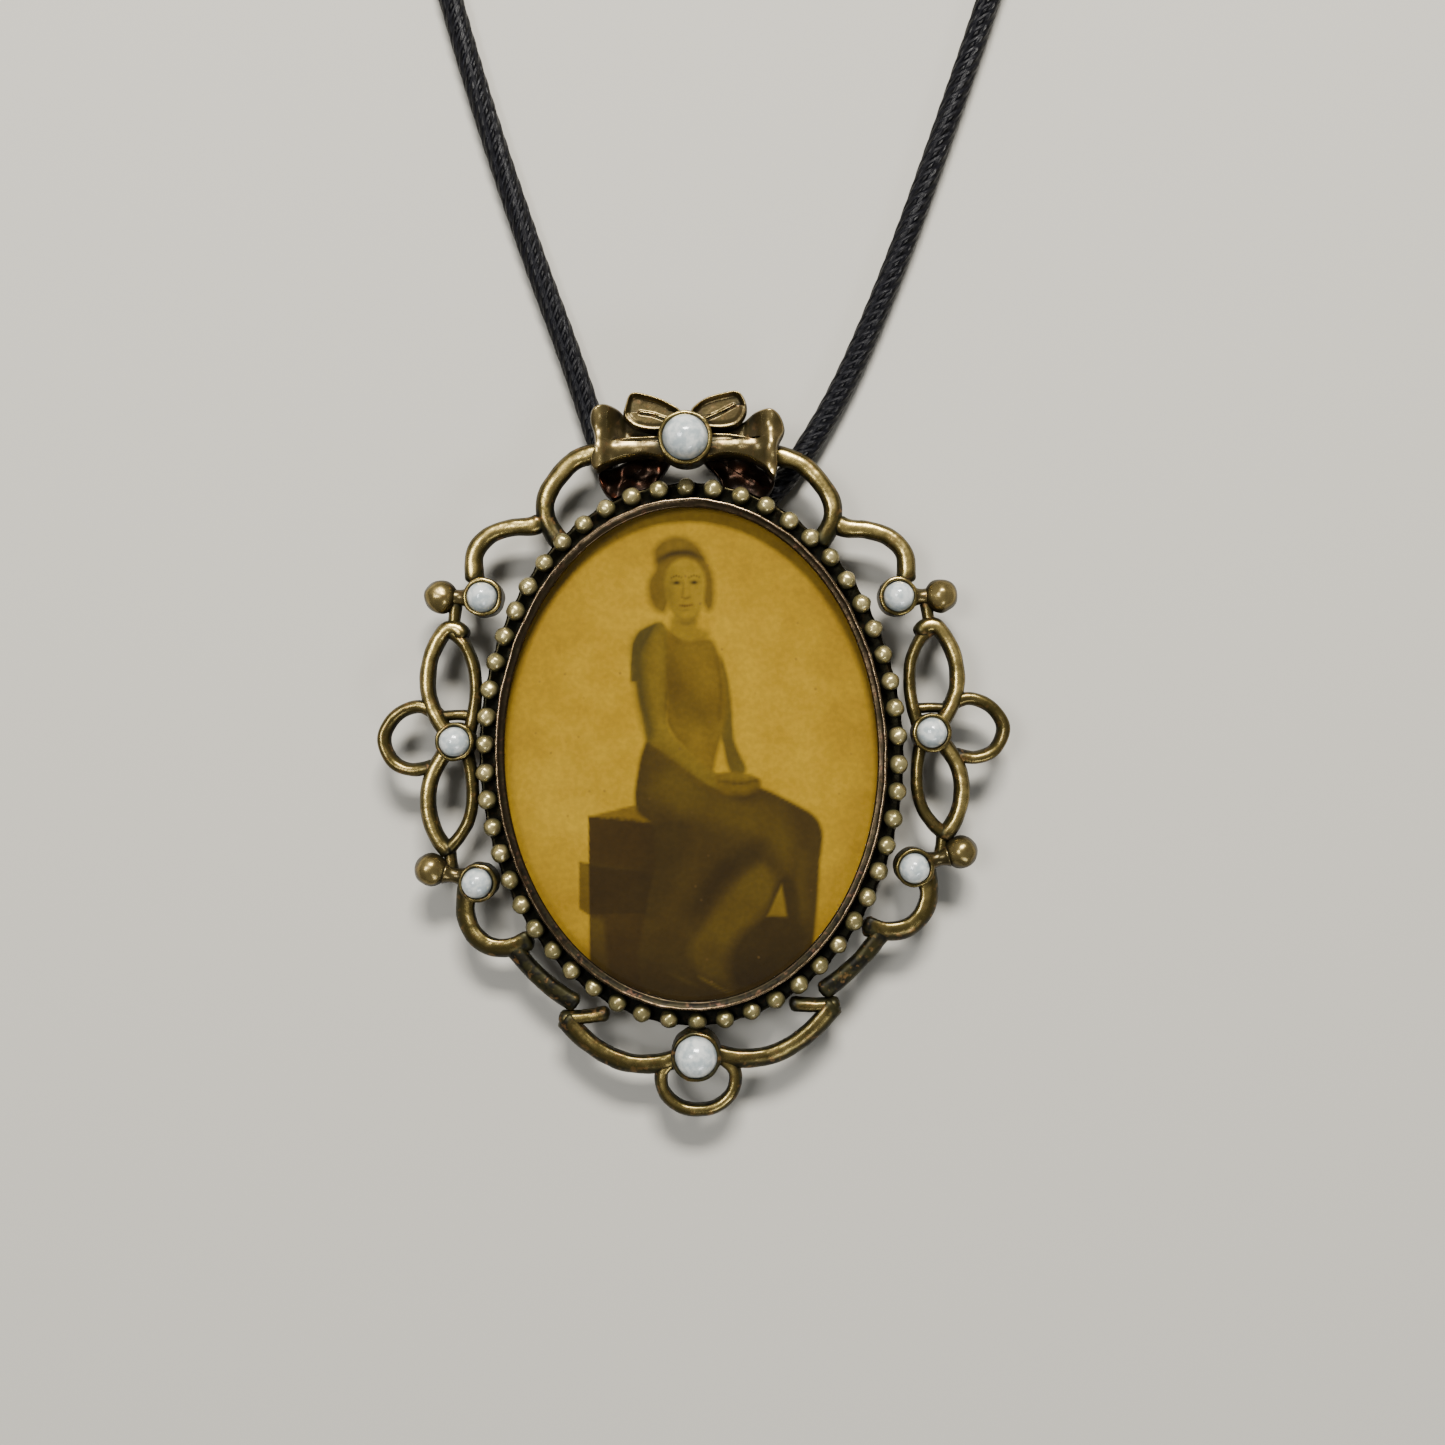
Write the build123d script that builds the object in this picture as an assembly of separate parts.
"""Oval picture locket on a black satin cord.

The locket lies on its back: +Z is the front, +Y runs towards the bow, and the origin is the
centre of the oval on the plane that the closed back cover rests on. All sizes are millimetres.
"""
from build123d import *
import math
import os

# ---- driving dimensions ---------------------------------------------------------------------
GLASS_X, GLASS_Y = 29.9, 39.4      # oval picture glass, the nominal 30 x 40 size
WALL = 0.45                        # sheet of the case wall
SEAT_GAP = 0.05                    # play between the glass and the case wall
LIP = 0.30                         # how far the rolled lip covers the glass

FLOOR_Z = 2.8                      # outer face of the case floor
FLOOR_T = 0.5
CARD_T, PRINT_T, GLASS_T = 0.5, 0.3, 1.0
LIP_T = 0.5

GALLERY_W = 1.6                    # ledge that carries the beads, outside the case wall
GALLERY_H = 1.1
BEAD_COUNT = 54
BEAD_R = 0.74
BEAD_OUT = 1.0                     # bead centres, outside the case wall

WIRE_H = 1.7                       # height of the domed border wires
ARC_W, SCROLL_W = 1.5, 1.4         # width of the heavy arcs and of the scrolls
LEAF_W, LEAF_INNER_W = 1.25, 1.0
LEAF_INNER_H = 1.64                # a leaf's inner wire, filed a little lower where the two cross
STEM_W, STEM_H = 0.9, 1.3          # the short stem at a leaf's tip
BAR_W, BAR_H = 0.8, 1.15           # the small bar that closes the upper leaf
LOOP_W, LOOP_H = 1.05, 1.5         # the lighter wire of the side and bottom loops

PEARL_R, PEARL_CUP_R, PEARL_SEAT_Z = 1.2, 1.55, 3.95
BOTTOM_PEARL_R, BOTTOM_CUP_R, BOTTOM_SEAT_Z = 1.7, 1.98, 3.9
BOW_PEARL_R, BOW_CUP_R, BOW_SEAT_Z = 1.82, 2.12, 5.2
CUP_WALL = 0.22
CUP_RIM_BELOW_CENTRE = 0.15        # the rim stands this far under the pearl's middle
KNOB_R, KNOB_Z = 1.3, 3.8
KNOB_NECK_R = 0.55

HAND_SHIFT = 0.2                   # the hand-soldered border sits a little to the right
HAND_TAPER = 0.0015                # and its left side is a little taller, per millimetre

BOW_FOOT_Z = 4.2                   # top of the bow tails, where loops and cup are soldered
RIBBON_T = 0.45
PETAL_Z, PETAL_T = 4.9, 1.1
PETAL_CORNER_R, PETAL_EDGE_R = 0.55, 0.35

COVER_GAP = 0.15                   # closed back cover to case floor
COVER_X, COVER_Y = 14.4, 19.0      # half axes of the back cover
COVER_TOP_Y = 16.9                 # straight upper edge of the back cover
COVER_WALL = 0.4
SNAP_W, SNAP_H = 0.35, 1.0         # rim inside the cover that it snaps over
HINGE_X, HINGE_Z = -15.7, 1.95
HINGE_R, PIN_R, PIN_PLAY = 0.7, 0.36, 0.04
KNUCKLE_GAP = 0.15
HINGE_LENGTH, COVER_KNUCKLE_LENGTH = 9.0, 3.4

BAIL_X, BAIL_LENGTH = 0.2, 3.6     # strap bail behind the top of the oval
BAIL_Y, BAIL_CHANNEL = 18.8, 2.4
BAIL_T = 0.4

CORD_R = 1.0
CORD_Z = CORD_R                    # a cord lying on the surface
BAIL_CORD_Z = 1.55                 # the cord's middle inside the bail
COIL_X, COIL_Y = 18.0, 77.5
COIL_IN, COIL_OUT, COIL_H = 8.6, 13.4, 7.2
END_Z = 1.35                       # axis of the cord ends and the clasp
CAP_R, CAP_BORE_R, CAP_LENGTH, CAP_DEPTH = 1.3, 1.05, 5.6, 4.2
EYE_R, EYE_WIRE_R = 0.9, 0.3       # small upright eyes of the caps and the clasp
LINK_R, LINK_WIRE_R = 1.6, 0.3     # jump ring between cap and clasp
END_RING_R, END_RING_WIRE_R = 2.4, 0.4
CLASP_T, LEVER_T = 2.4, 1.4        # thickness of the clasp's body and of its lever
CLASP_HALF_L, CLASP_HALF_W = 4.6, 2.9
CLASP_RIM = 1.15                   # width of the clasp's loop
WINDOW_START = 3.1                 # where the clasp's opening begins, from the start of its body
GATE_LOW = 0.75                    # edge of the gap that the lever closes, from the clasp's axis
PIVOT = (1.9, 1.5)                 # lever pivot, from where the body starts
PIVOT_PIN_R, PIVOT_PLAY = 0.3, 0.03
LEVER_END, LEVER_PLAY = 7.0, 0.12  # where the lever meets the hook, and its play there
LEVER_BOSS_R, NUB_R = 0.85, 0.55

# ---- the cord's route, chosen by hand: left side, under the bow, right side ------------------
CORD_ROUTE = [
    (11.57, 69.84, CORD_Z), (1.0, 77.6, CORD_Z), (-12.5, 84.5, CORD_Z), (-20.6, 78.0, CORD_Z),
    (-20.3, 69.5, CORD_Z), (-16.9, 56.0, CORD_Z), (-12.6, 42.0, CORD_Z), (-8.2, 29.6, CORD_Z),
    (-5.3, 18.8, BAIL_CORD_Z), (5.4, 18.7, BAIL_CORD_Z),
    (11.6, 26.8, CORD_Z), (16.9, 38.0, CORD_Z), (22.4, 52.5, CORD_Z), (27.2, 65.8, CORD_Z),
    (29.39, 73.71, CORD_Z),
]
CLASP_TAIL = [(18.0, 87.5, 6.2), (10.5, 87.9, 4.6), (4.0, 88.8, END_Z), (-2.0, 89.3, END_Z)]
RING_TAIL = [
    (18.0, 89.5, 4.0), (11.0, 90.5, 2.8), (5.0, 93.2, END_Z), (0.2, 96.4, END_Z), (-4.4, 99.3, END_Z),
]

# ---- sizes worked out from the driving ones --------------------------------------------------
CASE_X = GLASS_X / 2 + SEAT_GAP + WALL
CASE_Y = GLASS_Y / 2 + SEAT_GAP + WALL
CARD_Z = FLOOR_Z + FLOOR_T
PRINT_Z = CARD_Z + CARD_T
GLASS_Z = PRINT_Z + PRINT_T
LIP_Z = GLASS_Z + GLASS_T
TOP_Z = LIP_Z + LIP_T
COVER_H = FLOOR_Z - COVER_GAP
CAP_EYE_X = CAP_LENGTH - CAP_DEPTH + EYE_R - 0.1
LINK_X = CAP_EYE_X + LINK_R
CLASP_X = LINK_X + LINK_R + EYE_R  # where the clasp's body starts
FAR = 60.0                         # longer than the locket, for cutting tools

# ---- border wires, right half, as plan points of each wire's middle line ---------------------
BORDER = {
    "shoulder_arc": [(ARC_W, WIRE_H, [(6.9, 23.9), (9.0, 23.3), (10.5, 21.8), (11.4, 20.2), (11.4, 18.7),
                                      (10.8, 17.5)])],
    "shoulder_scroll": [(SCROLL_W, WIRE_H, [(11.6, 18.4), (12.5, 18.1), (14.2, 17.95), (16.0, 17.3),
                                            (17.1, 16.0), (17.2, 13.6)])],
    "upper_leaf": [
        (LEAF_W, WIRE_H, [(19.5, 1.8), (20.6, 3.6), (21.1, 5.4), (20.9, 7.6), (20.2, 9.2), (19.4, 10.1),
                          (18.7, 10.2)]),
        (LEAF_INNER_W, LEAF_INNER_H, [(19.3, 10.1), (18.3, 9.1), (17.5, 7.4), (17.3, 5.4), (17.5, 3.6),
                                      (18.1, 1.8)]),
        (BAR_W, BAR_H, [(17.3, 3.25), (18.7, 3.4), (20.6, 3.3)]),
        (STEM_W, STEM_H, [(19.1, 9.9), (18.9, 11.0), (18.7, 12.3)]),
    ],
    "lower_leaf": [
        (LEAF_W, WIRE_H, [(19.5, 0.9), (20.9, -1.2), (21.3, -3.3), (21.0, -5.1), (20.3, -6.5), (19.3, -7.5)]),
        (LEAF_INNER_W, LEAF_INNER_H, [(20.2, -7.3), (18.9, -6.1), (18.1, -4.8), (17.75, -3.2), (17.8, -1.3),
                                      (18.2, 0.9)]),
        (STEM_W, STEM_H, [(19.7, -6.8), (19.6, -7.9), (19.4, -9.0)]),
    ],
    "side_loop": [(LOOP_W, LOOP_H, [(20.4, 3.6), (21.9, 4.1), (23.7, 3.4), (24.7, 1.7), (24.0, -0.1),
                                    (22.6, -0.75), (20.8, -0.5)])],
    "hip_scroll": [(ARC_W, WIRE_H, [(18.4, -10.2), (18.5, -12.0), (17.9, -13.6), (16.7, -14.6),
                                    (15.1, -14.8), (13.4, -14.2)])],
    "lower_arc": [(SCROLL_W, LEAF_INNER_H, [(14.7, -14.9), (13.5, -16.4), (12.3, -17.6), (11.1, -18.6), (9.9, -19.4)])],
    "bottom_scroll": [
        (ARC_W, WIRE_H, [(1.0, -24.1), (3.4, -24.5), (5.8, -24.3), (7.9, -23.3), (9.6, -21.9), (10.5, -20.9)]),
        (1.1, LEAF_INNER_H, [(11.1, -20.5), (9.2, -20.5), (7.2, -20.3)]),
    ],
}
BOTTOM_LOOP = [
    (-1.9, -24.3), (-2.9, -25.3), (-2.75, -26.9), (-1.5, -28.1), (0, -28.4), (1.5, -28.1), (2.75, -26.9),
    (2.9, -25.3), (1.9, -24.3),
]
CUPS = {"upper": (16.4, 12.45), "middle": (18.85, 1.35), "lower": (17.25, -9.55)}
KNOBS = {"upper": (19.9, 12.55), "lower": (21.1, -8.5)}
BOW_AT = (0.1, 24.6)
BOTTOM_AT = (-0.1, -23.7)

LOOP_OUTLINES = {
    "left": [(-1.2, 23.4), (-3.4, 23.5), (-5.0, 23.2), (-6.2, 22.8), (-7.1, 22.4), (-7.4, 23.0),
             (-7.05, 24.2), (-7.1, 25.3), (-7.35, 26.3), (-7.15, 27.2), (-6.3, 27.6), (-5.2, 27.3),
             (-4.2, 26.3), (-1.2, 25.7)],
    "right": [(1.2, 23.3), (3.3, 23.4), (5.0, 23.1), (6.2, 22.4), (7.0, 21.5), (7.25, 22.3),
              (7.25, 23.5), (7.5, 24.4), (7.9, 25.3), (7.6, 26.4), (6.9, 26.95), (5.6, 26.8),
              (4.4, 26.1), (1.2, 25.7)],
}
PLEATS = {
    "left": [(-1.0, 24.9), (-5.3, 24.9), (-5.9, 25.5), (-5.0, 26.2), (-1.0, 25.6)],
    "right": [(1.0, 25.0), (5.4, 24.8), (6.2, 25.4), (5.2, 26.0), (1.0, 25.6)],
}
PETALS = {
    "left": [(-0.1, 26.95), (-2.4, 28.3), (-4.2, 28.5), (-4.75, 26.6), (-3.9, 25.6), (-1.0, 25.6)],
    "right": [(0.4, 26.95), (2.1, 28.2), (4.4, 28.5), (5.0, 26.7), (4.2, 25.6), (1.2, 25.6)],
}
PETAL_CREASES = {"left": ((-3.4, 26.9), (-1.2, 26.3)), "right": ((3.7, 27.2), (1.8, 26.3))}
TAILS = {
    "left": [(-0.3, 25.2), (-1.4, 22.9), (-2.1, 21.9), (-2.6, 20.9), (-6.0, 20.4), (-7.0, 22.5),
             (-5.2, 23.2), (-2.4, 25.2)],
    "right": [(0.4, 25.2), (1.7, 22.9), (2.6, 21.9), (3.0, 20.9), (6.2, 20.2), (7.1, 21.6),
              (6.2, 22.6), (2.6, 25.2)],
}


def side_of(name):
    """-1 for a left-hand piece, +1 for a right-hand one."""
    return -1 if name == "left" else 1


def hand_set(x, y):
    """Plan position of a border piece as it was soldered by hand."""
    return x + HAND_SHIFT, y * (1 - HAND_TAPER * x)


def oval(half_x, half_y, z, height):
    """A flat oval plate."""
    return Pos(0, 0, z) * extrude(Ellipse(half_x, half_y), height)


def oval_band(half_x, half_y, width, z, height):
    """An oval ring of the given width inside the given half axes."""
    return oval(half_x, half_y, z, height) - oval(half_x - width, half_y - width, z, height)


def cylinder(x, y, z, radius, height):
    """An upright cylinder standing on z."""
    return Pos(x, y, z + height / 2) * Cylinder(radius, height)


def block(low, high):
    """A box between two corners."""
    middle = [(a + b) / 2 for a, b in zip(low, high)]
    return Pos(*middle) * Box(*[b - a for a, b in zip(low, high)])


def plate(points, z, height, smooth=True):
    """A flat plate with a hand-drawn outline."""
    outline = Spline(*points, periodic=True) if smooth else Polyline(*points, close=True)
    return Pos(0, 0, z) * extrude(make_face(outline.edges()), height)


def largest(shape):
    """The main solid of a shape, without the crumbs that trimming leaves."""
    return max(shape.solids(), key=lambda solid: solid.volume)


def domed_section(width, height):
    """Flat-backed wire section with a rounded front."""
    half = width / 2
    shoulder = height - 0.55 * width
    sides = Polyline((-half, shoulder), (-half, 0), (half, 0), (half, shoulder))
    dome = ThreePointArc((half, shoulder), (0, height), (-half, shoulder))
    return make_face([*sides.edges(), dome.edge()])


def wire(points, width, height, z=FLOOR_Z):
    """A domed wire bent in plan along a smooth line through the points."""
    path = Spline(*[(x, y, z) for x, y in points])
    along = path % 0
    across = Vector(0, 0, 1).cross(along)
    section = Plane(origin=path @ 0, x_dir=across, z_dir=along) * domed_section(width, height)
    return sweep(section, path)


def border_points(side, points):
    return [hand_set(side * x, y) for x, y in points]


# ---- case ------------------------------------------------------------------------------------
def make_case():
    """Floor, wall with its rolled lip, glass, print, card and the gallery ledge."""
    wall = oval_band(CASE_X, CASE_Y, WALL, CARD_Z, TOP_Z - CARD_Z)
    lip_ring = oval_band(CASE_X, CASE_Y, WALL + LIP, LIP_Z, LIP_T)
    rim = (wall + lip_ring).edges().group_by(Axis.Z)[-1]
    room_x, room_y = GLASS_X / 2, GLASS_Y / 2
    ledge = oval(CASE_X + GALLERY_W, CASE_Y + GALLERY_W, FLOOR_Z, GALLERY_H)
    ledge -= oval(CASE_X, CASE_Y, FLOOR_Z, GALLERY_H)
    return {
        "case_floor": oval(CASE_X, CASE_Y, FLOOR_Z, FLOOR_T),
        "case_wall": fillet(rim, 0.2),
        "backing_card": oval(room_x, room_y, CARD_Z, CARD_T),
        "photo_print": oval(room_x, room_y, PRINT_Z, PRINT_T),
        "picture_glass": oval(room_x, room_y, GLASS_Z, GLASS_T),
        "gallery_ring": ledge,
    }


def bead_centres():
    """Points spaced evenly along the oval on which the beads sit, the first at the top."""
    half_x, half_y = CASE_X + BEAD_OUT, CASE_Y + BEAD_OUT
    rail = Ellipse(half_x, half_y).edge()
    start = rail.param_at_point(Vector(0, half_y, 0))
    return [rail.position_at((start + i / BEAD_COUNT) % 1) for i in range(BEAD_COUNT)]


def make_beads(ledge):
    """The ring of small balls soldered onto the gallery ledge."""
    z = FLOOR_Z + GALLERY_H + 0.65 * BEAD_R
    balls = [Pos(p.X, p.Y, z) * Sphere(BEAD_R) - ledge for p in bead_centres()]
    return Compound(children=[largest(ball) for ball in balls])


# ---- pearls and their cups -------------------------------------------------------------------
def make_cup(x, y, foot_z, seat_z, cup_r, pearl_r):
    """A cup and the pearl that sits in it."""
    centre_z = seat_z + pearl_r
    rim_z = centre_z - CUP_RIM_BELOW_CENTRE
    pearl = Pos(x, y, centre_z) * Sphere(pearl_r)
    cup = cylinder(x, y, foot_z, cup_r, rim_z - foot_z)
    cup -= cylinder(x, y, seat_z, cup_r - CUP_WALL, FAR)
    return cup - pearl, pearl


def knob(side, level):
    """A corner ball with a short neck to the cup beside it."""
    ball_x, ball_y = hand_set(side * KNOBS[level][0], KNOBS[level][1])
    cup_x, cup_y = hand_set(side * CUPS[level][0], CUPS[level][1])
    neck = Line((cup_x, cup_y, KNOB_Z), (ball_x, ball_y, KNOB_Z))
    section = Plane(origin=neck @ 0, z_dir=neck % 0) * Circle(KNOB_NECK_R)
    return Pos(ball_x, ball_y, KNOB_Z) * Sphere(KNOB_R) + sweep(section, neck)


# ---- openwork border -------------------------------------------------------------------------
def ledge_clearance():
    """The room that the case, its ledge and the overhanging beads take up."""
    spread = BEAD_OUT + BEAD_R + 0.05
    beads = oval(CASE_X + spread, CASE_Y + spread, FLOOR_Z + GALLERY_H - 0.3, FAR)
    return oval(CASE_X + GALLERY_W, CASE_Y + GALLERY_W, FLOOR_Z - 1, FAR) + beads


def make_border(cups):
    """All border wires and knobs, each trimmed where it meets what was soldered before it."""
    soldered = [ledge_clearance(), *cups]
    nodes = {}

    def solder(name, piece):
        for other in soldered:
            piece -= other
        nodes[name] = largest(piece)
        soldered.append(nodes[name])

    knobs = []
    for level in KNOBS:
        for side in (-1, 1):
            ball = knob(side, level)
            for cup in cups:
                ball -= cup
            knobs.append(largest(ball))
    soldered.extend(knobs)
    nodes["corner_knobs"] = Compound(children=knobs)

    solder("bottom_loop", wire(BOTTOM_LOOP, LOOP_W, LOOP_H))
    for name in ("left", "right"):
        for key, wires in BORDER.items():
            bent = [wire(border_points(side_of(name), points), width, height) for width, height, points in wires]
            solder(f"{name}_{key}", sum(bent[1:], bent[0]))
    return nodes


# ---- bow -------------------------------------------------------------------------------------
def bow_loop(name):
    """Wide loop: a strip folded back on itself at its outer end, pleated along its front."""
    side = side_of(name)
    reach = max(abs(x) for x, _ in LOOP_OUTLINES[name])
    back_z, front_z, fold_x = BOW_FOOT_Z, 6.6, reach - 1.1

    def strip_outline(inset):
        low, high = back_z + inset, front_z - inset
        fold = ThreePointArc((fold_x, low), (reach - inset, (back_z + front_z) / 2), (fold_x, high))
        knot_low, knot_high = (0.6, low), (0.6, high - 0.5)
        legs = [Line(knot_low, (fold_x, low)), Line((fold_x, high), knot_high), Line(knot_high, knot_low)]
        return make_face([fold.edge(), *[leg.edge() for leg in legs]])

    strip = extrude(Plane.XZ * (strip_outline(0) - strip_outline(RIBBON_T)), FAR, both=True)
    if side < 0:
        strip = mirror(strip, Plane.YZ)
    strip &= plate(LOOP_OUTLINES[name], 0, FAR)
    pleat = plate(PLEATS[name], (back_z + front_z) / 2, FAR, smooth=False)
    return strip - pleat


def bow_petal(name):
    """Small upper loop: a rounded leaf with a crease."""
    petal = plate(PETALS[name], PETAL_Z, PETAL_T, smooth=False)
    petal = fillet(petal.edges().filter_by(Axis.Z), PETAL_CORNER_R)
    petal = fillet(petal.edges().group_by(Axis.Z)[-1], PETAL_EDGE_R)
    start, end = [Vector(*p, PETAL_Z + PETAL_T) for p in PETAL_CREASES[name]]
    crease = Line(start, end)
    notch = Plane(origin=crease @ 0, z_dir=crease % 0) * Rectangle(0.35, 0.35, rotation=45)
    return petal - sweep(notch, crease)


def make_bow(cup, ledge_room):
    """Loops, petals and tails of the bow round its pearl cup."""
    nodes = {}
    for name in ("left", "right"):
        tail = plate(TAILS[name], FLOOR_Z, BOW_FOOT_Z - FLOOR_Z, smooth=False) - ledge_room
        loop = bow_loop(name) - cup
        petal = bow_petal(name) - cup - loop
        nodes[f"{name}_bow_tail"] = largest(tail)
        nodes[f"{name}_bow_loop"] = largest(loop)
        nodes[f"{name}_bow_petal"] = largest(petal)
    nodes["right_bow_tail"] = largest(nodes["right_bow_tail"] - nodes["left_bow_tail"])
    return nodes


# ---- back: strap bail, hinge and cover -------------------------------------------------------
def make_bail():
    """Strap soldered across the back: the cord runs between it and the case floor."""
    low_x, high_x = BAIL_X - BAIL_LENGTH / 2, BAIL_X + BAIL_LENGTH / 2
    half = BAIL_CHANNEL / 2
    outside = block((low_x, BAIL_Y - half - BAIL_T, 0), (high_x, BAIL_Y + half + BAIL_T, FLOOR_Z))
    outside = fillet(outside.edges().filter_by(Axis.X).group_by(Axis.Z)[0], 0.35)
    return outside - block((low_x - 1, BAIL_Y - half, BAIL_T), (high_x + 1, BAIL_Y + half, FLOOR_Z + 1))


def lid_outline(half_x, half_y, top_y):
    """An oval with its top cut off straight, clear of the bail."""
    return Ellipse(half_x, half_y) & Pos(0, top_y - FAR / 2) * Rectangle(FAR, FAR)


def hinge_tube(low_y, high_y, radius):
    axis = Plane(origin=(HINGE_X, low_y, HINGE_Z), z_dir=(0, 1, 0))
    return extrude(axis * Circle(radius), high_y - low_y)


def make_back():
    """Back cover with its knuckle and thumb lip, snap rim, case knuckles and hinge pin."""
    edge_r = 0.9
    shell = extrude(lid_outline(COVER_X, COVER_Y, COVER_TOP_Y), COVER_H)
    shell = fillet(shell.edges().group_by(Axis.Z)[0], edge_r)
    inner = lid_outline(COVER_X - COVER_WALL, COVER_Y - COVER_WALL, COVER_TOP_Y - COVER_WALL)
    hollow = Pos(0, 0, COVER_WALL) * extrude(inner, COVER_H)
    hollow = fillet(hollow.edges().group_by(Axis.Z)[0], edge_r - COVER_WALL)
    cover = shell - hollow

    rim_gap = COVER_WALL + 0.15
    rim_z = FLOOR_Z - SNAP_H
    rim = extrude(lid_outline(COVER_X - rim_gap, COVER_Y - rim_gap, COVER_TOP_Y - rim_gap), SNAP_H)
    inside = rim_gap + SNAP_W
    rim -= extrude(lid_outline(COVER_X - inside, COVER_Y - inside, COVER_TOP_Y - inside), SNAP_H)

    half = COVER_KNUCKLE_LENGTH / 2
    end = HINGE_LENGTH / 2
    web_top = HINGE_Z + 0.3
    web = block((HINGE_X, -half, HINGE_Z - 0.45), (-COVER_X + 0.2, half, web_top))
    cover_knuckle = hinge_tube(-half, half, HINGE_R) + web - hinge_tube(-half, half, PIN_R + PIN_PLAY)
    cover_knuckle = largest(cover_knuckle - shell)

    case_knuckles = []
    for low, high in ((-end, -half - KNUCKLE_GAP), (half + KNUCKLE_GAP, end)):
        foot = block((HINGE_X - 0.45, low, HINGE_Z), (HINGE_X + 0.45, high, FLOOR_Z))
        case_knuckles.append(hinge_tube(low, high, HINGE_R) + foot - hinge_tube(low, high, PIN_R))

    lip_half, lip_low, lip_high = 2.0, 1.5, 2.2
    lip = cylinder(COVER_X - 0.6, 0, lip_low, lip_half, lip_high - lip_low)
    lip = largest(lip - oval(COVER_X, COVER_Y, 0, FLOOR_Z))
    return {
        "back_cover": cover,
        "snap_rim": Pos(0, 0, rim_z) * rim,
        "cover_knuckle": cover_knuckle,
        "case_knuckles": Compound(children=case_knuckles),
        "hinge_pin": hinge_tube(-end, end, PIN_R),
        "thumb_lip": lip,
    }


# ---- cord ------------------------------------------------------------------------------------
def corner_radii(route):
    """The largest arc that the two runs beside each corner allow."""
    points = [Vector(*p) for p in route]
    radii = []
    for before, corner, after in zip(points, points[1:], points[2:]):
        turn = math.radians((corner - before).get_angle(after - corner))
        shorter = min((corner - before).length, (after - corner).length)
        radii.append(0.45 * shorter / math.tan(turn / 2))
    return radii


def cord_tube(name, route):
    """A round cord along straight runs joined by tangent arcs."""
    radii = corner_radii(route)
    path = FilletPolyline(*route, radius=radii)
    section = Plane(origin=path @ 0, z_dir=path % 0) * Circle(CORD_R)
    tube = sweep(section, path)
    expected = math.pi * CORD_R ** 2 * path.length
    print(f"{name}: length {path.length:.1f} mm, smallest radii", [round(r, 1) for r in sorted(radii)[:5]],
          f"volume {tube.volume:.1f} of {expected:.1f}")
    return tube


def make_cord():
    """The satin cord: its free stretches and the coil of its put-away length."""
    coil = cylinder(COIL_X, COIL_Y, 0, COIL_OUT, COIL_H) - cylinder(COIL_X, COIL_Y, 0, COIL_IN, COIL_H)
    return {
        "cord": largest(cord_tube("cord", CORD_ROUTE) - coil),
        "cord_coil": coil,
        "cord_tail_clasp": largest(cord_tube("clasp tail", CLASP_TAIL) - coil),
        "cord_tail_ring": largest(cord_tube("ring tail", RING_TAIL) - coil),
    }


# ---- cord ends and clasp, in a frame whose +X runs away from the cord -------------------------
def end_frame(tail):
    """The frame at the inner end of a cord tail."""
    tip, before = Vector(*tail[-1]), Vector(*tail[-2])
    return Plane(origin=tip, x_dir=(tip - before).normalized(), z_dir=(0, 0, 1))


def eye(x):
    """A small upright wire eye centred at x."""
    return Pos(x, 0, 0) * Rot(90, 0, 0) * Torus(EYE_R, EYE_WIRE_R)


def cap():
    """Cord end cap: a blind tube over the cord with an eye on its closed end."""
    body = Rot(0, 90, 0) * Cylinder(CAP_R, CAP_LENGTH)
    body = Pos(CAP_LENGTH / 2 - CAP_DEPTH, 0, 0) * body
    bore = Pos(-CAP_DEPTH / 2, 0, 0) * Rot(0, 90, 0) * Cylinder(CAP_BORE_R, CAP_DEPTH)
    return body + eye(CAP_EYE_X) - bore


def clasp_egg(inset, thickness):
    """The clasp's egg-shaped outline, centred on its thickness."""
    egg = extrude(Ellipse(CLASP_HALF_L - inset, CLASP_HALF_W - inset), thickness / 2, both=True)
    return Pos(CLASP_HALF_L - 0.2, 0, 0) * egg


def make_clasp():
    """Lobster clasp body, its sprung lever and the pivot pin, all from the clasp's own start."""
    slot_half = LEVER_T / 2 + 0.1
    window = clasp_egg(CLASP_RIM, FAR) & block((WINDOW_START, -FAR, -FAR), (FAR, FAR, FAR))
    gate = block((WINDOW_START, GATE_LOW, -FAR), (LEVER_END, FAR, FAR))
    slot = block((PIVOT[0] - 1.2, PIVOT[1] - 1.35, -slot_half), (WINDOW_START + 0.1, FAR, slot_half))
    pin = cylinder(*PIVOT, -CLASP_T / 2, PIVOT_PIN_R, CLASP_T)
    body = clasp_egg(0, CLASP_T) - window - gate - slot - pin
    body += eye(-EYE_R + 0.05)

    boss = cylinder(*PIVOT, -LEVER_T / 2, LEVER_BOSS_R, LEVER_T)
    arm = clasp_egg(0.15, LEVER_T) - clasp_egg(CLASP_RIM, FAR)
    arm &= block((PIVOT[0], GATE_LOW + LEVER_PLAY, -FAR), (LEVER_END - LEVER_PLAY, FAR, FAR))
    nub = Pos(WINDOW_START + 1.0, CLASP_HALF_W - 0.1, 0) * Sphere(NUB_R)
    lever = boss + arm - cylinder(*PIVOT, -FAR / 2, PIVOT_PIN_R + PIVOT_PLAY, FAR) + nub
    return body, lever, pin


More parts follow.
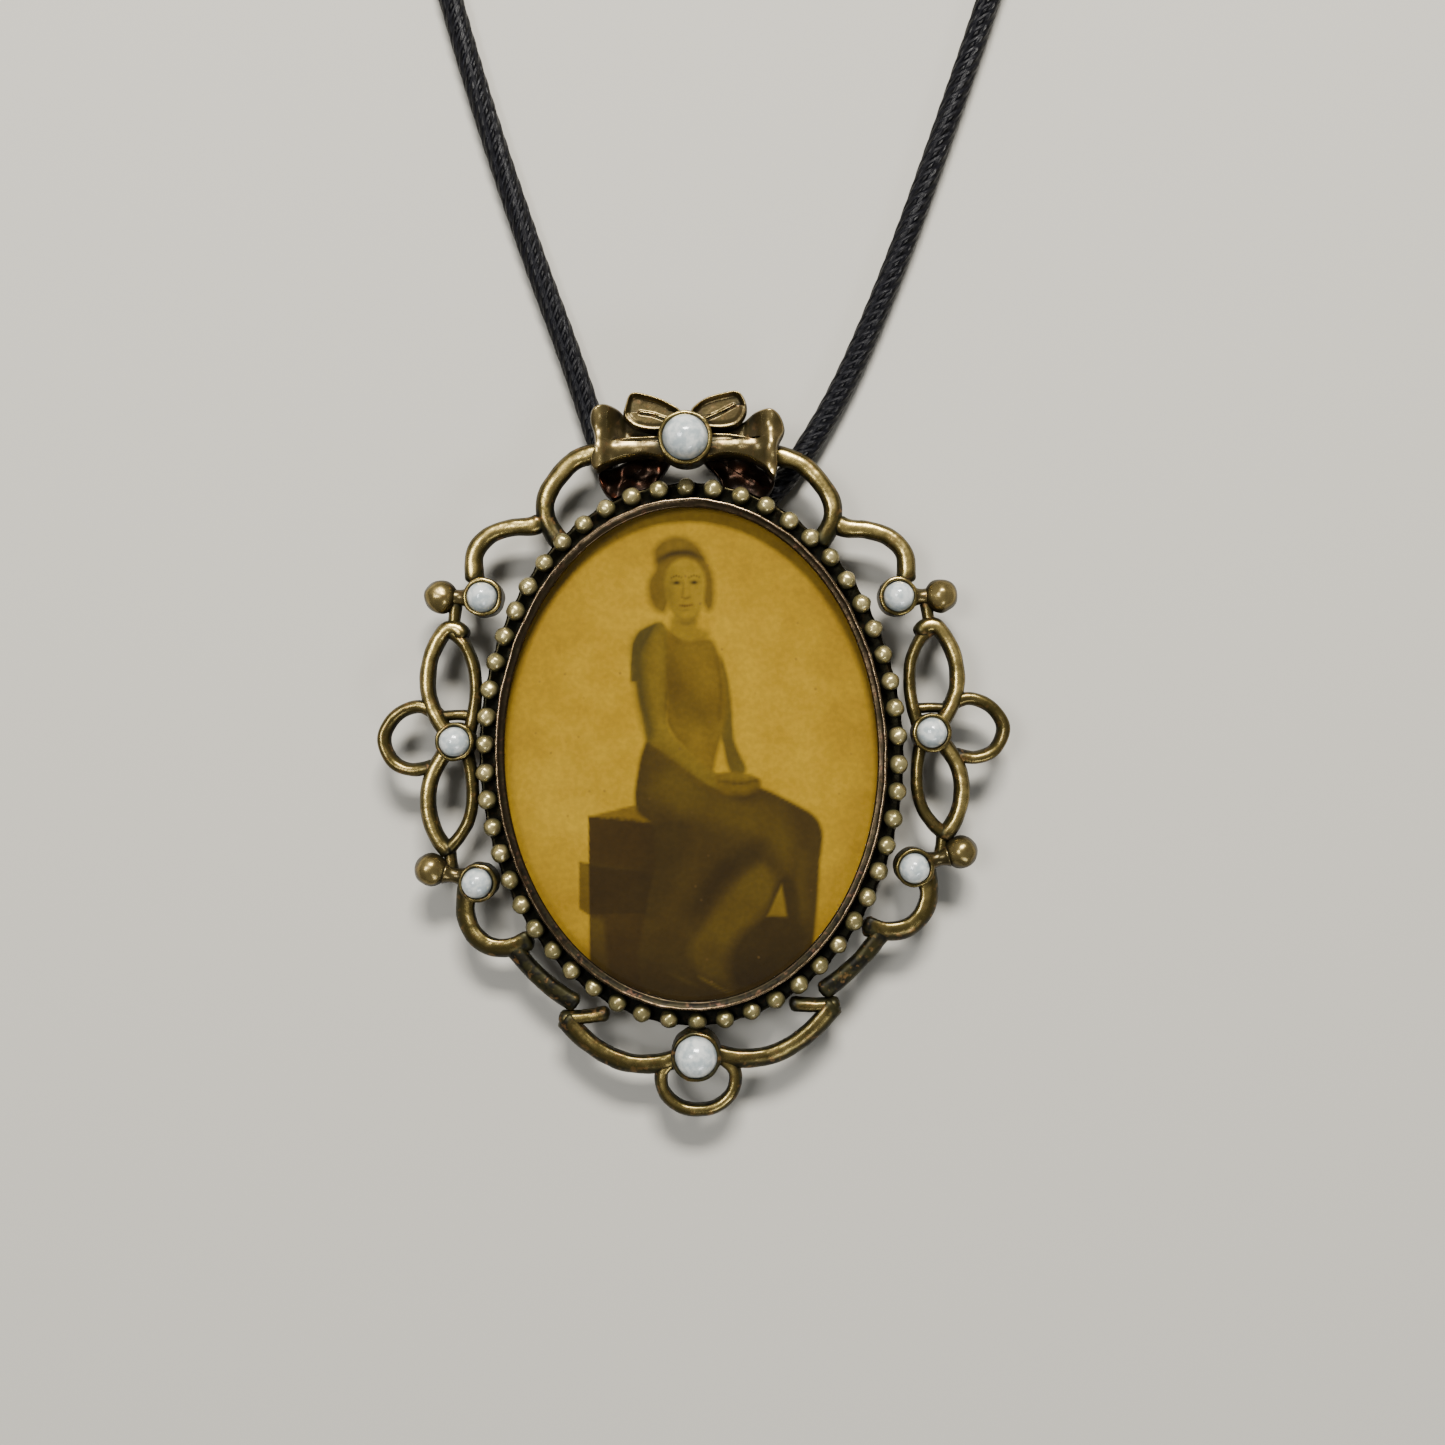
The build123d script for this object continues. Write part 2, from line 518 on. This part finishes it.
def make_ends():
    """Caps, rings and clasp on the two ends of the cord."""
    clasp_end, ring_end = end_frame(CLASP_TAIL), end_frame(RING_TAIL)
    body, lever, pin = [Pos(CLASP_X, 0, 0) * piece for piece in make_clasp()]
    on_clasp_end = {
        "cord_cap_clasp": cap(),
        "clasp_link": Pos(LINK_X, 0, 0) * Torus(LINK_R, LINK_WIRE_R),
        "clasp_body": body,
        "clasp_lever": lever,
        "clasp_pin": pin,
    }
    on_ring_end = {
        "cord_cap_ring": cap(),
        "end_ring": Pos(CAP_EYE_X + END_RING_R, 0, 0) * Torus(END_RING_R, END_RING_WIRE_R),
    }
    nodes = {name: clasp_end * piece for name, piece in on_clasp_end.items()}
    nodes.update({name: ring_end * piece for name, piece in on_ring_end.items()})
    pivot = (clasp_end * Pos(CLASP_X + PIVOT[0], PIVOT[1], 0)).position
    print("clasp pivot at", tuple(round(v, 3) for v in pivot))
    return nodes


def make_locket():
    nodes = make_case()
    nodes["gallery_beads"] = make_beads(nodes["gallery_ring"])

    small_cups, small_pearls = [], []
    for x, y in CUPS.values():
        for side in (-1, 1):
            cup, pearl = make_cup(*hand_set(side * x, y), FLOOR_Z, PEARL_SEAT_Z, PEARL_CUP_R, PEARL_R)
            cup -= ledge_clearance()
            small_cups.append(largest(cup))
            small_pearls.append(pearl)
    bottom_cup, bottom_pearl = make_cup(*BOTTOM_AT, FLOOR_Z, BOTTOM_SEAT_Z, BOTTOM_CUP_R, BOTTOM_PEARL_R)
    bow_cup, bow_pearl = make_cup(*BOW_AT, BOW_FOOT_Z, BOW_SEAT_Z, BOW_CUP_R, BOW_PEARL_R)
    bottom_cup = largest(bottom_cup - ledge_clearance())
    nodes.update({
        "small_pearl_cups": Compound(children=small_cups),
        "small_pearls": Compound(children=small_pearls),
        "bottom_pearl_cup": bottom_cup,
        "bottom_pearl": bottom_pearl,
        "bow_pearl_cup": bow_cup,
        "bow_pearl": bow_pearl,
    })

    bow = make_bow(bow_cup, ledge_clearance())
    cup_room = [cylinder(*hand_set(side * x, y), FLOOR_Z, PEARL_CUP_R, FAR) for x, y in CUPS.values()
                for side in (-1, 1)]
    bottom_room = cylinder(*BOTTOM_AT, FLOOR_Z, BOTTOM_CUP_R, FAR)
    nodes.update(make_border([*cup_room, bottom_room, *bow.values()]))
    nodes.update(bow)
    nodes["bail_strap"] = make_bail()
    nodes.update(make_back())
    nodes.update(make_cord())
    nodes.update(make_ends())
    return nodes


os.makedirs("parts", exist_ok=True)
for node_name, node_shape in make_locket().items():
    export_step(node_shape, f"parts/{node_name}.step")
